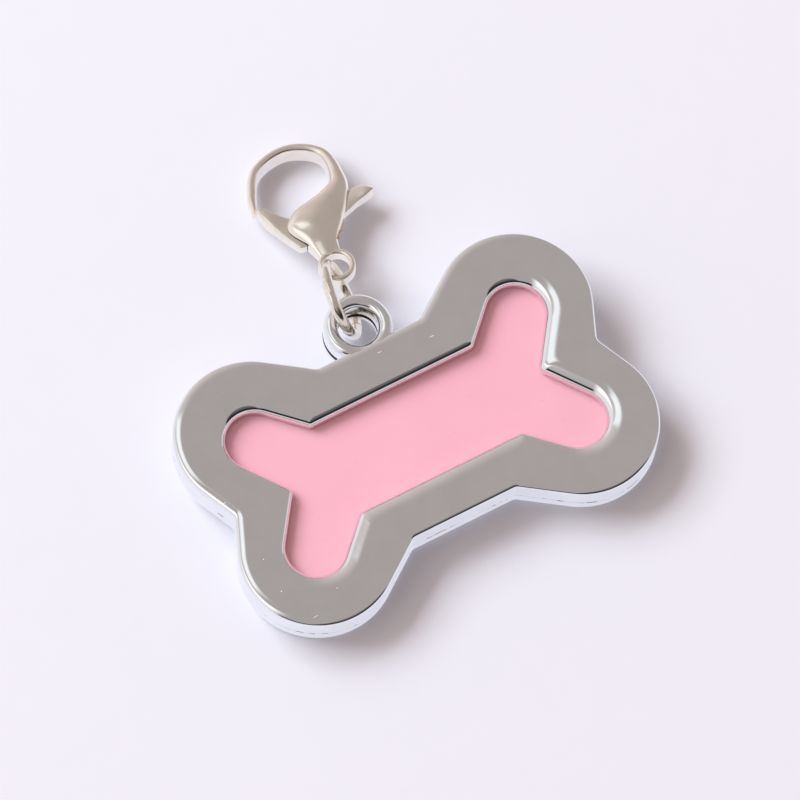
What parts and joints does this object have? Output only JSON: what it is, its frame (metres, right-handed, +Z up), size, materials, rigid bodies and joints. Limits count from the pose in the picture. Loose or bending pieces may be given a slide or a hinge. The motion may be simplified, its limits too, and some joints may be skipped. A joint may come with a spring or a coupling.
{
  "type": "pet tag",
  "caption": "Flat bone-shaped metal pet tag with a pink picture card in a recessed bone window, a lug, a jump ring and a lobster clasp that clips it to a collar.",
  "frame": {"origin": "on the floor, under the middle of the whole part's bounding box as it lies with its ring standing through the lug", "axes": "X runs along the bone, Y from the bone towards the lug and the clasp, Z up from the floor; the bone's front faces up"},
  "size_m": [0.04, 0.0434, 0.0072],
  "materials": {
    "chrome_plate": "bright plated zinc alloy, flat polished face",
    "pink_card": "matte pale pink printed card",
    "nickel_wire": "polished nickel-plated wire",
    "nickel_cast": "tumbled and nickel-plated casting",
    "steel": "plain bright steel"
  },
  "bodies": {
    "tag": {"front_bezel": "chrome_plate", "back_plate": "chrome_plate", "photo_card": "pink_card"},
    "ring": {"jump_ring": "nickel_wire"},
    "clasp": {"clasp_body": "nickel_cast", "clasp_pin": "steel", "clasp_spring": "steel"},
    "trigger": {"clasp_trigger": "nickel_cast"}
  },
  "joints": [
    {"name": "ring_swing", "type": "hinge", "parent": "tag", "child": "ring", "pos_m": [0, 0.00445, 0.00334], "axis": [0.9156, -0.2114, 0.342], "range_deg": [-40, 40]},
    {"name": "clasp_swivel", "type": "hinge", "parent": "ring", "child": "clasp", "pos_m": [0.00111, 0.00833, 0.00275], "axis": [-0.2583, 0.3425, 0.9033], "range_deg": [-60, 60]},
    {"name": "trigger_press", "type": "hinge", "parent": "clasp", "child": "trigger", "pos_m": [0.00139, 0.01357, 0.0021], "axis": [-0.0321, -0.1289, -0.9911], "range_deg": [0, 25], "stiffness_Nm_per_rad": 0.0001, "springref_deg": -20.05, "deforming": ["clasp_spring"]}
  ]
}
